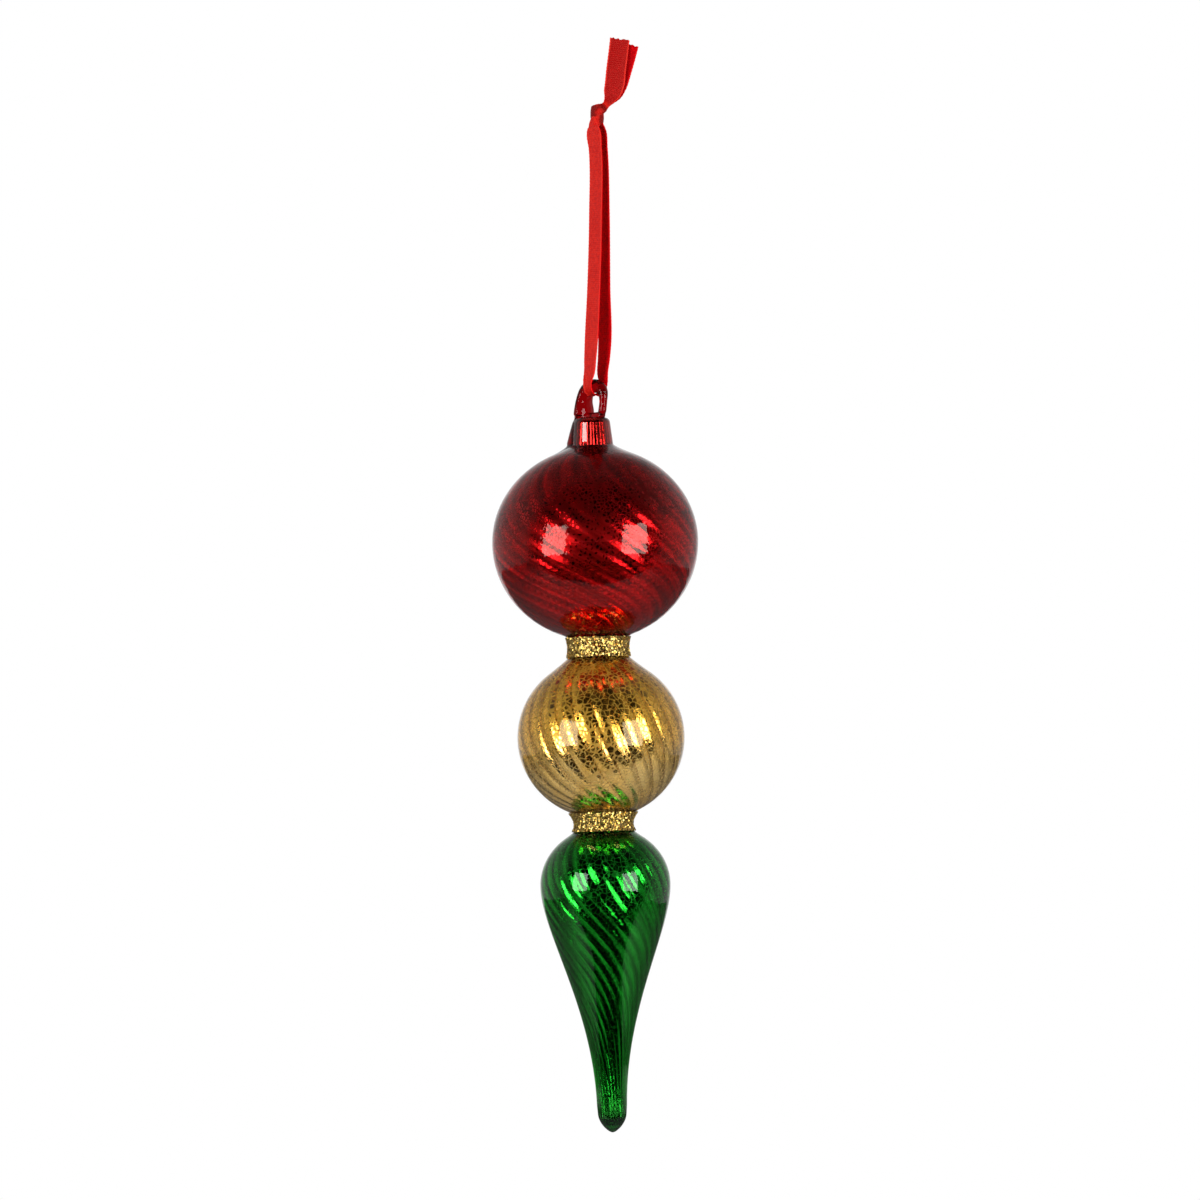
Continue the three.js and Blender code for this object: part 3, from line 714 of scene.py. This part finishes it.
def clearGlass(name, look):
    finish = Finish(name)
    place = finish.node("TexCoord", {}, {}, 3)
    waves = finish.node("TexNoise", {}, {"Vector": place, "Scale": blown["waves"], "Detail": 1.5})
    ripples = finish.node("TexNoise", {}, {"Vector": place, "Scale": blown["ripples"], "Detail": 1.0})
    relief = waves * look["wave"] + ripples * look["ripple"]
    height = finish.node("SeparateXYZ", {}, {"Vector": place}, 2)
    tint, polish = look["tint"], 0.0
    if "neckAbove" in look:  # a drawn neck is smoother than the ball, and its colour is thinner
        neck = height.ease(look["neckAbove"] - blown["neckRise"], look["neckAbove"])
        relief = relief * (1 - neck * blown["neckCalm"])
        tint = finish.blend(neck, tint, look["neckTint"])
        polish = neck * look["neckPolish"]
    bump = finish.node("Bump", {}, {"Height": relief, "Strength": 1.0, "Distance": blown["relief"]})
    if "paleTint" in look:  # the colour thins in clouds towards the foot of the ball, and this paleness also paints in the pale floor's light there
        clouds = finish.node("TexNoise", {}, {"Vector": place, "Scale": blown["clouds"], "Detail": 2.0})
        thinnedAndFloorLit = height.ease(look["paleBelow"] - look["paleFall"], look["paleBelow"], 1.0, 0.0)
        tint = finish.blend(thinnedAndFloorLit * clouds.ease(0.35, 0.6, 0.35, 1.0), tint, look["paleTint"])
    if "solidTint" in look:  # thick glass takes more of the light
        hollow = height.ease(look["solidBelow"], look["solidBelow"] + look["solidRise"])
        tint = finish.blend(hollow, look["solidTint"], tint)
    return finish.surface({
        "Base Color": tint,
        "Roughness": 0.0,
        "IOR": look["density"],
        "Specular Tint": look["shine"],
        "Transmission Weight": 1.0,
        "Coat Weight": polish,
        "Coat Roughness": 0.03,
        "Normal": bump,
    })


crazing = {
    "drift": 500.0,  # how the veins wander, and how far
    "driftReach": 0.0011,
    "hairCells": 2.3,  # hair cracks to a vein's cell
    "patches": 60.0,
    "veinRoughness": 0.4,
    "relief": 0.0005,
}


# Crackled silver: islands that mirror, parted by powdery veins, with painted shade darkening the colour
# along the swirl's creases
def crackle(name, look):
    finish = Finish(name)
    place = finish.node("TexCoord", {}, {}, 3)
    drift = finish.node("TexNoise", {}, {"Vector": place, "Scale": crazing["drift"], "Detail": 2.0}, 1)
    reach = (crazing["driftReach"],) * 3
    drifted = finish.node("VectorMath", {"operation": "MULTIPLY_ADD"}, {0: drift, 1: reach, 2: place})
    edges = {"feature": "DISTANCE_TO_EDGE"}
    cells = finish.node("TexVoronoi", edges, {"Vector": drifted, "Scale": 1 / look["cell"]})
    hairScale = crazing["hairCells"] / look["cell"]
    small = finish.node("TexVoronoi", edges, {"Vector": drifted, "Scale": hairScale})
    patches = finish.node("TexNoise", {}, {"Vector": place, "Scale": crazing["patches"], "Detail": 2.0})
    width = patches.ease(0.35, 0.65, look["vein"] * 0.4, look["vein"] * 1.6)
    vein = 1 - (cells - width).ease(-0.03, 0.04)
    hair = 1 - small.ease(look["vein"] * 0.25, look["vein"] * 0.7)
    cracked = finish.node("Attribute", {"attribute_name": "crackle"}, {}, 2)
    mask = vein.highest(hair * look["hair"]) * cracked
    lane = finish.node("Attribute", {"attribute_name": "lane"}, {}, 1)
    streak = finish.node("TexNoise", {}, {"Vector": lane, "Scale": 9.0, "Detail": 4.0, "Roughness": 0.6})
    mirror = finish.blend(streak.ease(0.35, 0.65), look["tintShade"], look["tint"])
    colour = finish.blend(mask, mirror, look["veinColour"])
    # Painted shade: the colour darkens towards the bottom of each rib crease
    creaseShade = finish.node("Attribute", {"attribute_name": "creaseShade"}, {}, 2)
    creaseShading = creaseShade.ease(look["creaseFrom"], 1.0, 0.0, look["creaseShade"])
    colour = finish.blend(creaseShading, colour, look["creaseShadeColour"])
    dents = finish.node("TexNoise", {}, {"Vector": place, "Scale": look["dentScale"], "Detail": 2.0})
    relief = dents * look["dent"] + streak * look["streak"] - mask * 0.02
    bump = finish.node("Bump", {}, {"Height": relief, "Strength": 1.0, "Distance": crazing["relief"]})
    return finish.surface({
        "Base Color": colour,
        "Metallic": mask.ease(0, 1, 1.0, look["veinMetal"]),
        "Roughness": mask.ease(0, 1, look["roughness"], crazing["veinRoughness"]),
        "Normal": bump,
    })


pressed = {
    "levels": 400,  # heights at which the turn is added up
    "phase": 0.4,
    "leastRadius": 0.003,
    "fadeRadius": 0.004,  # inside this, the ribs die out towards the axis
    "laneStretch": 8,
}


# The swirl pressed into the silver: rounded ribs parted by creases, turned along the axis.
def swirl(piece, ribs):
    mesh = piece.data
    points = np.empty(len(mesh.vertices) * 3)
    mesh.vertices.foreach_get("co", points)
    points = points.reshape(-1, 3)
    radius = np.hypot(points[:, 0], points[:, 1])
    angle = np.arctan2(points[:, 1], points[:, 0])
    top, bottom = points[:, 2].max(), points[:, 2].min()
    levels = np.linspace(top, bottom, pressed["levels"])
    order = np.argsort(points[:, 2])
    reach = np.interp(levels, points[order, 2], radius[order])
    slopes = np.interp((top - levels) / (top - bottom), *zip(*ribs["slopes"]))
    steps = slopes[:-1] / np.maximum(reach[:-1], pressed["leastRadius"]) * -np.diff(levels)
    turn = np.interp(top - points[:, 2], top - levels, np.concatenate([[0], np.cumsum(steps)]))
    share = (top - points[:, 2]) / (top - bottom)
    depth = np.interp(share, *zip(*ribs["depths"]))
    wave = np.abs(np.sin((angle - turn) * ribs["count"] / 2 + pressed["phase"]))
    away = depth * (1 - wave) * np.minimum(1, radius / pressed["fadeRadius"])
    stretched = points[:, 2] * pressed["laneStretch"]
    lane = np.stack([np.cos(angle - turn), np.sin(angle - turn), stretched], axis=1)
    scale = np.where(radius > 1e-5, (radius - away) / np.maximum(radius, 1e-5), 1)
    points[:, 0] *= scale
    points[:, 1] *= scale
    mesh.vertices.foreach_set("co", points.ravel())
    # one field marks the creases for the painted crease shade, the other how much is crackled
    for name, values in (("creaseShade", 1 - wave), ("crackle", np.interp(share, *zip(*ribs["crackle"])))):
        kept = mesh.attributes.new(name, "FLOAT", "POINT")
        kept.data.foreach_set("value", values.astype(np.float32))
    kept = mesh.attributes.new("lane", "FLOAT_VECTOR", "POINT")
    kept.data.foreach_set("vector", lane.astype(np.float32).ravel())
    mesh.update()


redGlass = clearGlass("red_outer_glass", {
    "tint": (0.96, 0.014, 0.015),
    "wave": 3.0,
    "ripple": 0.8,
    "neckAbove": neckTop.z - redShape["neckHeight"],
    "neckTint": (0.70, 0.030, 0.022),
    "neckPolish": 0.75,
    "density": 1.27,
    "shine": (1.0, 0.85, 0.75),
})
goldGlass = clearGlass("gold_outer_glass", {
    "tint": (0.99, 0.58, 0.09),
    "paleTint": (1.0, 0.74, 0.30),
    "paleBelow": neckTop.z + goldCentre + 0.006,
    "paleFall": 0.022,
    "wave": 0.8,
    "ripple": 0.10,
    "density": 1.42,
    "shine": (1.0, 0.80, 0.52),
})
greenGlass = clearGlass("green_outer_glass", {
    "tint": (0.02, 0.68, 0.045),
    "solidTint": (0.01, 0.12, 0.015),
    "solidBelow": -0.3345,
    "solidRise": 0.013,
    "wave": 0.8,
    "ripple": 0.15,
    "density": 1.30,
    "shine": (0.85, 1.0, 0.90),
})
redSilver = crackle("red_crackled_silver", {
    "tint": (0.76, 0.55, 0.58),
    "tintShade": (0.36, 0.25, 0.27),
    "veinColour": (0.045, 0.035, 0.045),
    # painted shade along the rib creases: its colour, strength and where it starts
    "creaseShadeColour": (0.10, 0.08, 0.08),
    "creaseShade": 0.7,
    "creaseFrom": 0.35,
    "cell": 0.0013,
    "vein": 0.15,
    "hair": 0.4,
    "veinMetal": 0.4,
    "roughness": 0.05,
    "dentScale": 110.0,
    "dent": 0.22,
    "streak": 0.10,
})
goldSilver = crackle("gold_crackled_silver", {
    "tint": (0.99, 0.94, 0.84),
    "tintShade": (0.96, 0.87, 0.72),
    "veinColour": (0.52, 0.46, 0.36),
    # painted shade along the rib creases: its colour, strength and where it starts
    "creaseShadeColour": (0.28, 0.12, 0.03),
    "creaseShade": 1.0,
    "creaseFrom": 0.72,
    "cell": 0.0018,
    "vein": 0.09,
    "hair": 0.4,
    "veinMetal": 0.4,
    "roughness": 0.04,
    "dentScale": 90.0,
    "dent": 0.12,
    "streak": 0.10,
})
greenSilver = crackle("green_crackled_silver", {
    "tint": (0.52, 0.50, 0.45),
    "tintShade": (0.28, 0.27, 0.25),
    "veinColour": (0.12, 0.11, 0.12),
    # painted shade along the rib creases: its colour, strength and where it starts
    "creaseShadeColour": (0.08, 0.08, 0.08),
    "creaseShade": 0.6,
    "creaseFrom": 0.4,
    "cell": 0.0018,
    "vein": 0.03,
    "hair": 0.25,
    "veinMetal": 0.4,
    "roughness": 0.05,
    "dentScale": 110.0,
    "dent": 0.2,
    "streak": 0.30,
})


def glassShell(name, outside, inside, node, slot, material):
    piece = spun(name, outside + inside[::-1], fine["glassSides"], True)
    hung(piece)
    finished(piece, "ornament", slot, material)
    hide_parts(node)


def silverLining(name, outline, ribs, node, slot, material):
    piece = spun(name, outline, fine["silverSides"], False)
    swirl(piece, ribs)
    applied(piece, "SOLIDIFY", thickness=silverThickness, offset=-1)
    hung(piece)
    finished(piece, "ornament", slot, material, angle=60)
    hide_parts(node)


def collarEnd(shape, joint, wall=0):  # where a section's lower collar ends, over the joint
    return [(shape["lowerCollar"] - wall, joint + fitHalf)]


glassShell(
    "red_glass_shell",
    collarEnd(redShape, upperJoint) + redBall(0) + redNeck(0),
    collarEnd(redShape, upperJoint, glassWall) + redBall(wallBehind) + redNeck(wallBehind),
    "red_bulb", "red_glass", redGlass,
)
glassShell(
    "gold_glass_shell",
    collarEnd(goldShape, lowerJoint) + goldBall(0) + spigotOutside(goldShape, upperJoint),
    collarEnd(goldShape, lowerJoint, glassWall) + goldBall(wallBehind) + spigotInside(goldShape, upperJoint),
    "gold_bulb", "gold_glass", goldGlass,
)
glassShell(
    "green_glass_shell",
    outerTip() + dropSide(0) + spigotOutside(greenShape, lowerJoint),
    innerTip(wallBehind) + dropSide(wallBehind) + spigotInside(greenShape, lowerJoint),
    "green_drop", "green_glass", greenGlass,
)

# Each lining's ribs: how they turn, how deep they are and how much is crackled, from the top (0) down (1)
redRibs = {
    "count": 24,
    "slopes": [(0, 0), (0.12, 0), (0.3, 0.6), (0.55, 1.4), (0.8, 2.0), (1, 1.5)],
    "depths": [(0, 0.00014), (0.1, 0.00014), (0.16, 0.0003), (0.45, 0.00045), (0.75, 0.0005), (1, 0.0003)],
    "crackle": [(0, 0.25), (0.1, 0.25), (0.2, 0.8), (0.45, 1), (0.62, 0.5), (0.8, 0.4), (1, 0.4)],
}
goldRibs = {
    "count": 24,
    "slopes": [(0, 0.2), (0.5, 0.38), (0.75, 0.6), (0.9, 1.3), (1, 1.6)],
    "depths": [(0, 0.0004), (0.15, 0.0005), (0.5, 0.00052), (0.8, 0.0005), (1, 0.0003)],
    "crackle": [(0, 0.7), (0.4, 1), (0.62, 1), (0.8, 0.6), (1, 0.35)],
}
greenRibs = {
    "count": 24,
    "slopes": [(0, 0.3), (0.15, 0.5), (0.3, 0.9), (0.5, 0.5), (0.7, 0.15), (1, 0)],
    "depths": [(0, 0.0003), (0.2, 0.0005), (0.6, 0.0003), (1, 0.00018)],
    "crackle": [(0, 0.7), (0.2, 1), (0.3, 0.5), (0.5, 0.3), (1, 0.35)],
}
start = fine["flare"] // 2  # a ball's lining starts halfway down its lower flare
redLine = redBall(silverDepth)[start:] + redNeck(silverDepth)
goldLine = goldBall(silverDepth)[start:]
greenLine = innerTip(silverDepth) + dropSide(silverDepth)
silverLining("red_silver_lining", redLine, redRibs, "red_silvering", "red_silver", redSilver)
silverLining("gold_silver_lining", goldLine, goldRibs, "gold_silvering", "gold_silver", goldSilver)
silverLining("green_silver_lining", greenLine, greenRibs, "green_silvering", "green_silver", greenSilver)
print("glass done")


# Hook: pulled from solid glass, so its facets are melted together and its feet run into the neck
hook = {
    "voxel": 0.00022,
    "swell": 0.00012,  # makes up for what the smoothing takes
    "cut": 0.0002,  # height over the neck's top where the part's own trail is cut away
    "footReach": 0.0009,
    "footRadius": 0.0058,
    "sink": 0.0007,
    "smoothing": 6,
}
trail = {
    "start": math.radians(164),  # round the neck from +X, in the glass's own frame
    "end": math.radians(256),
    "thickness": 0.0019,
    "top": -0.0003,
    "foot": 0.0125,
    "growth": [(0.0003, 0.1), (0.0045, 0.6), (0.0085, 1.0), (0.0105, 0.55), (0.0125, 0.0)],  # by depth
    "root": 0.0006,
    "sunk": 0.0001,
    "topInset": 0.0004,
    "lookDown": 0.02,  # how much of the red outline it follows
    "steps": 24,
    "levels": 34,
}


def glassTrail():  # the trail of glass that runs down the neck and melts into the ball's shoulder
    outline = [point for point in reversed(redBall(0) + redNeck(0)) if point[1] > -trail["lookDown"]]
    heights = [-height for radius, height in outline]
    radii = [radius for radius, height in outline]
    outer, inner = [], []
    for k in range(trail["levels"] + 1):
        down = -trail["top"] + (trail["foot"] + trail["top"]) * k / trail["levels"]
        base = max(float(np.interp(down, heights, radii)), redShape["neckTop"] - trail["topInset"])
        growth = np.interp(down, *zip(*trail["growth"]))
        for i in range(trail["steps"] + 1):
            share = i / trail["steps"]
            angle = trail["start"] + (trail["end"] - trail["start"]) * share
            swell = trail["thickness"] * growth * math.sin(math.pi * share)
            spoke = Vector((math.cos(angle), math.sin(angle), 0))
            outer.append(spoke * (base + swell - trail["sunk"]) - up * down)
            inner.append(spoke * (base - trail["root"]) - up * down)
    columns, rows = trail["steps"] + 1, trail["levels"] + 1
    faces = []
    for k in range(rows - 1):
        for i in range(columns - 1):
            a, shift = k * columns + i, rows * columns
            faces.append((a, a + 1, a + columns + 1, a + columns))
            faces.append((a + shift, a + shift + columns, a + shift + columns + 1, a + shift + 1))
    rim = list(range(columns)) + [k * columns + columns - 1 for k in range(1, rows)]
    rim += [(rows - 1) * columns + i for i in range(columns - 2, -1, -1)]
    rim += [k * columns for k in range(rows - 2, 0, -1)]
    for a, b in zip(rim, rim[1:] + rim[:1]):
        faces.append((a, a + rows * columns, b + rows * columns, b))
    piece = meshPiece("glass_trail", outer + inner, faces)
    piece.data.transform(glassFrame)
    faceOutwards(piece)
    return piece


hookGlass = clearGlass("red_hook_glass", {
    "tint": (0.235, 0.001, 0.002),
    "wave": 0.8,
    "ripple": 0.25,
    "density": 1.24,
    "shine": (1.0, 0.8, 0.8),
})


def pulledHook():
    clearSelection()
    piece = bpy.data.objects.new("pulled_glass_hook", frame["nodes"]["glass_hook"].data.copy())
    bpy.context.collection.objects.link(piece)
    only(piece)
    bpy.ops.object.mode_set(mode="EDIT")
    bpy.ops.mesh.select_all(action="SELECT")
    bpy.ops.mesh.remove_doubles(threshold=1e-6)
    bpy.ops.transform.shrink_fatten(value=hook["swell"])
    cutAt = neckTop + glassUp * hook["cut"]
    bpy.ops.mesh.bisect(plane_co=cutAt, plane_no=glassUp, use_fill=True, clear_inner=True)
    bpy.ops.object.mode_set(mode="OBJECT")
    for vertex in piece.data.vertices:  # the feet sink into the neck's top
        height = (vertex.co - neckTop).dot(glassUp)
        spoke = vertex.co - neckTop - glassUp * height
        if height < hook["footReach"]:
            if spoke.length > hook["footRadius"]:
                vertex.co -= spoke * (1 - hook["footRadius"] / spoke.length)
            if height < hook["cut"] + 1e-5:
                vertex.co -= glassUp * hook["sink"]
    ran = glassTrail()
    only(piece)
    ran.select_set(True)
    bpy.ops.object.join()
    applied(piece, "REMESH", mode="VOXEL", voxel_size=hook["voxel"])
    applied(piece, "SMOOTH", factor=0.5, iterations=hook["smoothing"])
    finished(piece, "ornament", "red_glass", hookGlass, angle=180)
    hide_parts("glass_hook")


pulledHook()


# Glitter bands: a layer of glue on the band, thick with loose flakes that lie at all angles
glitter = {
    "flakes": 5200,
    "radius": 0.00024,
    "spread": 0.00008,
    "thickness": 0.00004,
    "tilt": 34,
    "proud": 0.00010,
    "outward": 0.0006,  # how far a face has to look outwards to carry flakes
}


def refinish(node, material):  # a solid that stays gets its finish
    materials = frame["nodes"][node].data.materials
    materials.clear()
    materials.append(material)


def flakeGlue():
    finish = Finish("glitter_glue")
    place = finish.node("TexCoord", {}, {}, 3)
    grains = finish.node("TexVoronoi", {}, {"Vector": place, "Scale": 2200.0}, 1)
    lumps = finish.node("TexNoise", {}, {"Vector": place, "Scale": 900.0, "Detail": 3.0})
    shade = finish.node("SeparateXYZ", {}, {"Vector": grains})
    colour = finish.blend(shade.ease(0.2, 0.9), (0.08, 0.045, 0.010), (0.34, 0.21, 0.05))
    bump = finish.node("Bump", {}, {"Height": lumps + shade * 0.6, "Strength": 0.9, "Distance": 0.0002})
    return finish.surface({
        "Base Color": colour,
        "Metallic": 0.6,
        "Roughness": shade.ease(0, 1, 0.25, 0.5),
        "Normal": bump,
    })


def flakeGold():
    finish = Finish("gold_flakes")
    shade = finish.node("Attribute", {"attribute_name": "shade"}, {}, 2)
    colour = finish.blend(shade, (0.22, 0.13, 0.016), (0.60, 0.43, 0.13))
    return finish.surface({"Base Color": colour, "Metallic": 1.0, "Roughness": shade.ease(0, 1, 0.14, 0.3)})


def glitterBand(name, node, seed, flakeFinish):
    mesh = frame["nodes"][node].data
    corners, areas = [], []
    axisPoint, axis = nodePoints(node).mean(0), np.array(glassUp)
    for polygon in mesh.polygons:
        centre = np.array(polygon.center) - axisPoint
        outward = centre - axis * (centre @ axis)
        if np.array(polygon.normal) @ outward > glitter["outward"]:
            corners.append([np.array(mesh.vertices[v].co) for v in polygon.vertices[:3]])
            areas.append(polygon.area)
    rng = np.random.default_rng(seed)
    chosen = rng.choice(len(corners), glitter["flakes"], p=np.array(areas) / sum(areas))
    vertices, faces, shades = [], [], []
    for k in chosen:
        a, b, c = corners[k]
        u, v = rng.random(2)
        if u + v > 1:
            u, v = 1 - u, 1 - v
        middle = a + (b - a) * u + (c - a) * v
        side = middle - axisPoint
        normal = side - axis * (side @ axis)
        normal /= np.linalg.norm(normal)
        first = np.cross(normal, axis)
        tilts = np.radians(rng.normal(0, glitter["tilt"] / 2, 2))
        facing = normal + first * math.tan(tilts[0]) + axis * math.tan(tilts[1])
        facing /= np.linalg.norm(facing)
        first = np.cross(facing, axis)
        first /= np.linalg.norm(first)
        second = np.cross(facing, first)
        size = glitter["radius"] + glitter["spread"] * rng.uniform(-1, 1)
        start = rng.uniform(0, math.pi / 3)
        lifted = middle + normal * glitter["proud"] * rng.random()
        base = len(vertices)
        shade = rng.random()
        for level in (-0.5, 0.5):
            for corner in range(6):
                turn = start + corner * math.pi / 3
                spoke = (first * math.cos(turn) + second * math.sin(turn)) * size
                vertices.append(lifted + spoke + facing * glitter["thickness"] * level)
                shades.append(shade)
        faces.append([base + i for i in range(5, -1, -1)])
        faces.append([base + 6 + i for i in range(6)])
        for i in range(6):
            j = (i + 1) % 6
            faces.append([base + i, base + j, base + 6 + j, base + 6 + i])
    piece = meshPiece(name, vertices, faces)
    kept = piece.data.attributes.new("shade", "FLOAT", "POINT")
    kept.data.foreach_set("value", np.array(shades, np.float32))
    faceOutwards(piece)
    finished(piece, "ornament", "gold_glitter", flakeFinish, angle=10)


glue, flakeFinish = flakeGlue(), flakeGold()
refinish("upper_glitter_band", glue)
refinish("lower_glitter_band", glue)
glitterBand("upper_glitter_flakes", "upper_glitter_band", 11, flakeFinish)
glitterBand("lower_glitter_flakes", "lower_glitter_band", 12, flakeFinish)


def amberCement():
    finish = Finish("amber_cement")
    place = finish.node("TexCoord", {}, {}, 3)
    cloud = finish.node("TexNoise", {}, {"Vector": place, "Scale": 300.0, "Detail": 3.0})
    bump = finish.node("Bump", {}, {"Height": cloud, "Strength": 0.4, "Distance": 0.0002})
    colour = finish.blend(cloud.ease(0.3, 0.7), (0.80, 0.76, 0.62), (0.62, 0.52, 0.34))
    roughness = cloud.ease(0.3, 0.7, 0.2, 0.4)
    return finish.surface({"Base Color": colour, "Roughness": roughness, "Normal": bump})


cement = amberCement()
refinish("upper_adhesive", cement)
refinish("lower_adhesive", cement)
print("hook, glitter and cement done")


# Stage: a white backdrop and floor behind and below, a dark room in front, and two soft boxes
stage = {
    "floorHeight": -0.62,
    "floorFront": 0.37,
    "floorWidth": 3.0,
    "floorDepth": 2.6,
    "floorShade": 0.48,
    "floorGlow": 0.7,  # only as the camera sees it
    "boxAngle": 45,
    "boxDistance": 0.9,
    "boxRise": 0.1,
    "boxAim": -0.19,
    "boxWidth": 0.44,
    "boxHeight": 0.54,
    "boxPower": 9.2,
    "wallGlow": 0.56,
    "frontGlow": 0.010,
    "backdropGlow": 0.40,
    "ceilingDark": 0.75,
}


def softBox(name, aside):
    lamp = bpy.data.lights.new(name, "AREA")
    lamp.shape = "RECTANGLE"
    lamp.size = stage["boxWidth"]
    lamp.size_y = stage["boxHeight"]
    lamp.energy = stage["boxPower"]
    box = bpy.data.objects.new(name, lamp)
    bpy.context.collection.objects.link(box)
    direction = photoAzimuth + math.radians(aside)
    target = Vector((0, 0, stage["boxAim"]))
    outward = Vector((math.sin(direction), -math.cos(direction), stage["boxRise"]))
    box.location = target + outward * stage["boxDistance"]
    box.rotation_euler = (box.location - target).to_track_quat("Z", "Y").to_euler()


softBox("left_soft_box", -stage["boxAngle"])
softBox("right_soft_box", stage["boxAngle"])

world = bpy.data.worlds.new("studio")
bpy.context.scene.world = world
room = Finish("studio", world)
toward = room.node("TexCoord", {}, {}, 0)
facing = room.node("VectorMath", {"operation": "DOT_PRODUCT"}, {0: toward, 1: tuple(toCamera)}, 1)
rising = room.node("VectorMath", {"operation": "DOT_PRODUCT"}, {0: toward, 1: (0, 0, 1)}, 1)
walls = facing.ease(-0.10, 0.40, stage["wallGlow"], stage["frontGlow"])
backdrop = facing.ease(-0.99, -0.85, stage["backdropGlow"], 0.0)
ceiling = rising.ease(0.35, 0.85, 0.0, 1.0)
glow = (walls + backdrop) * (1 - ceiling * stage["ceilingDark"])
strength = glow.highest(room.node("LightPath"))  # the camera sees it white
background = room.node("Background", {}, {"Color": (1.0, 1.0, 1.0), "Strength": strength})
room.node("OutputWorld", {}, {"Surface": background})

clearSelection()
bpy.ops.mesh.primitive_plane_add(size=1, location=(0, 0, 0))
floor = bpy.context.object
floor.name = "floor"
floor.data.transform(Matrix.Diagonal((stage["floorWidth"], stage["floorDepth"], 1, 1)))
middle = stage["floorDepth"] / 2 - stage["floorFront"]
floor.data.transform(Matrix.Translation((0, middle, stage["floorHeight"])))
floor.data.transform(Matrix.Rotation(photoAzimuth, 4, "Z"))
floorFinish = Finish("pale_floor")
seen = floorFinish.node("LightPath").ease(0, 1, 0.0, stage["floorGlow"])
pale = floorFinish.node("BsdfDiffuse", {}, {"Color": (stage["floorShade"],) * 3})
glowing = floorFinish.node("Emission", {}, {"Color": (1.0, 1.0, 1.0), "Strength": seen})
lit = floorFinish.node("AddShader", {}, {0: pale, 1: glowing})
floorFinish.node("OutputMaterial", {}, {"Surface": lit})
floor.data.materials.append(floorFinish.owner)
print("stage done")
